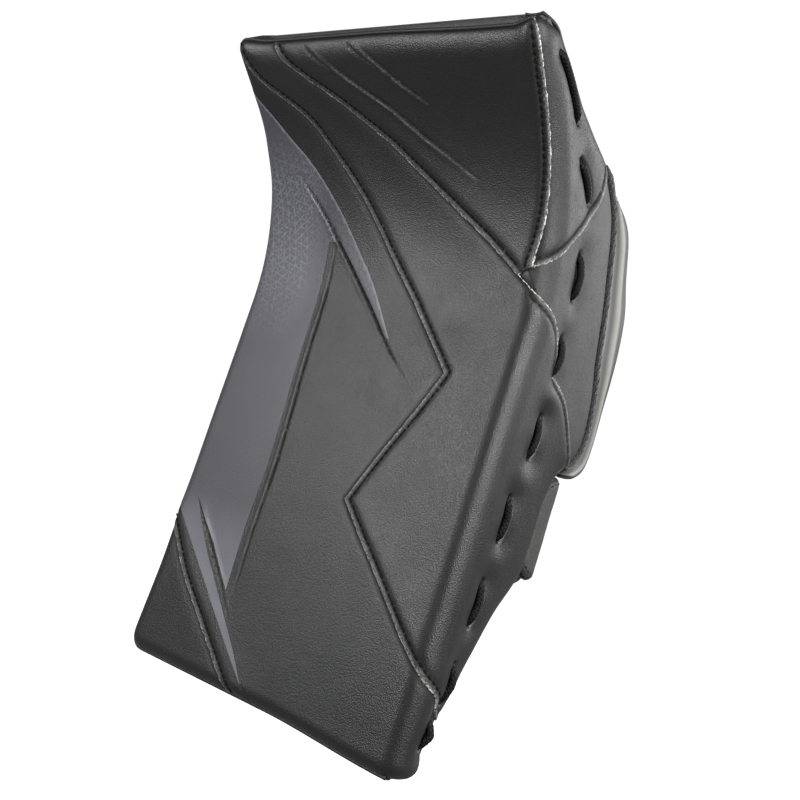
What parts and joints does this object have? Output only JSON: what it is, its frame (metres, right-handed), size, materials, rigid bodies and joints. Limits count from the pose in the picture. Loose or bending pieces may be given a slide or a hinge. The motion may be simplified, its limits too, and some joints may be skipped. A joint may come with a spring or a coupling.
{
  "type": "goalie blocker",
  "caption": "Ice hockey goalie's blocker: a bent rectangular board with a laced thumb-side wall and wing, and a jointed leather glove hand with a strapped cuff behind it.",
  "frame": {"origin": "the middle of the hand pocket, where the hand holds the blocker", "axes": "+X towards the thumb side, +Y from the board's face back to the palm, +Z from the fingers up to the cuff"},
  "size_m": [0.2073, 0.1787, 0.3711],
  "materials": {
    "black_leather": "satin",
    "printed_leather": "satin",
    "smooth_leather": "satin",
    "palm_leather": "matte",
    "guard_film": "satin",
    "foam": "matte",
    "stiffener": "matte",
    "black_mesh": "matte",
    "lace": "matte",
    "webbing": "matte"
  },
  "bodies": {
    "board": {"face_panel_upper": "black_leather", "face_panel_sweep": "black_leather", "face_panel_main": "black_leather", "face_panel_grey": "printed_leather", "face_panel_corner": "black_leather", "board_foam_front": "foam", "board_stiffener": "stiffener", "board_foam_back": "foam", "board_back_cover": "black_mesh", "edge_cover_bottom": "black_leather", "edge_cover_outer": "black_leather", "edge_cover_top": "black_leather", "wall_panel_upper": "black_leather", "wall_panel_wing": "smooth_leather", "wall_panel_lower": "black_leather", "wall_panel_toe": "black_leather", "wall_foam": "foam", "wall_liner": "black_mesh", "wing_piping": "black_mesh", "thumb_guard": "guard_film", "guard_binding": "webbing", "side_lace": "lace", "hand_back_pad": "foam", "gusset_outer": "palm_leather", "gusset_thumb": "palm_leather", "palm": "palm_leather", "palm_patch": "black_leather", "little_finger_guard": "black_leather", "index_finger_guard": "black_leather", "thumb_elbow": "palm_leather", "cuff_back": "black_leather", "cuff_wing_outer": "black_leather", "cuff_wing_thumb": "black_leather", "cuff_tab": "black_leather", "cuff_liner": "black_mesh", "strap_loop_patch": "webbing", "strap_anchor": "webbing"},
    "index_base": {"index_finger_base": "palm_leather"},
    "index_tip": {"index_finger_tip": "palm_leather"},
    "middle_base": {"middle_finger_base": "palm_leather"},
    "middle_tip": {"middle_finger_tip": "palm_leather"},
    "ring_base": {"ring_finger_base": "palm_leather"},
    "ring_tip": {"ring_finger_tip": "palm_leather"},
    "little_base": {"little_finger_base": "palm_leather"},
    "little_tip": {"little_finger_tip": "palm_leather"},
    "thumb_base": {"thumb_base": "palm_leather", "thumb_base_pad": "black_leather"},
    "thumb_tip": {"thumb_tip": "palm_leather", "thumb_tip_pad": "black_leather"},
    "strap": {"wrist_strap": "webbing", "strap_hook_patch": "webbing", "strap_pull_tab": "black_leather"}
  },
  "joints": [
    {"name": "index_knuckle", "type": "hinge", "parent": "board", "child": "index_base", "pos_m": [0.035, 0.0117, -0.052], "axis": [1, 0, 0], "range_deg": [0, 80], "stiffness_Nm_per_rad": 0.06},
    {"name": "index_middle_joint", "type": "hinge", "parent": "index_base", "child": "index_tip", "pos_m": [0.035, 0.0117, -0.098], "axis": [1, 0, 0], "range_deg": [0, 80]},
    {"name": "middle_knuckle", "type": "hinge", "parent": "board", "child": "middle_base", "pos_m": [0.0105, 0.0117, -0.052], "axis": [1, 0, 0], "range_deg": [0, 80], "stiffness_Nm_per_rad": 0.06},
    {"name": "middle_middle_joint", "type": "hinge", "parent": "middle_base", "child": "middle_tip", "pos_m": [0.0105, 0.0117, -0.102], "axis": [1, 0, 0], "range_deg": [0, 80]},
    {"name": "ring_knuckle", "type": "hinge", "parent": "board", "child": "ring_base", "pos_m": [-0.014, 0.0117, -0.052], "axis": [1, 0, 0], "range_deg": [0, 80], "stiffness_Nm_per_rad": 0.06},
    {"name": "ring_middle_joint", "type": "hinge", "parent": "ring_base", "child": "ring_tip", "pos_m": [-0.014, 0.0117, -0.099], "axis": [1, 0, 0], "range_deg": [0, 80]},
    {"name": "little_knuckle", "type": "hinge", "parent": "board", "child": "little_base", "pos_m": [-0.0385, 0.0117, -0.052], "axis": [1, 0, 0], "range_deg": [0, 80], "stiffness_Nm_per_rad": 0.06},
    {"name": "little_middle_joint", "type": "hinge", "parent": "little_base", "child": "little_tip", "pos_m": [-0.0385, 0.0117, -0.09], "axis": [1, 0, 0], "range_deg": [0, 80]},
    {"name": "thumb_knuckle", "type": "hinge", "parent": "board", "child": "thumb_base", "pos_m": [0.0698, 0.033, -0.012], "axis": [0, 1, 0], "range_deg": [0, 16], "stiffness_Nm_per_rad": 0.06},
    {"name": "thumb_end_joint", "type": "hinge", "parent": "thumb_base", "child": "thumb_tip", "pos_m": [0.0698, 0.033, -0.0385], "axis": [0, 1, 0], "range_deg": [0, 12]},
    {"name": "strap_peel", "type": "hinge", "parent": "board", "child": "strap", "pos_m": [-0.062, 0.0371, 0.085], "axis": [0, 0, 1], "range_deg": [0, 110]}
  ],
  "couplings": [
    {"joint": "index_middle_joint", "follows": "index_knuckle", "ratio": 1},
    {"joint": "middle_middle_joint", "follows": "middle_knuckle", "ratio": 1},
    {"joint": "ring_middle_joint", "follows": "ring_knuckle", "ratio": 1},
    {"joint": "little_middle_joint", "follows": "little_knuckle", "ratio": 1},
    {"joint": "thumb_end_joint", "follows": "thumb_knuckle", "ratio": 0.75}
  ]
}
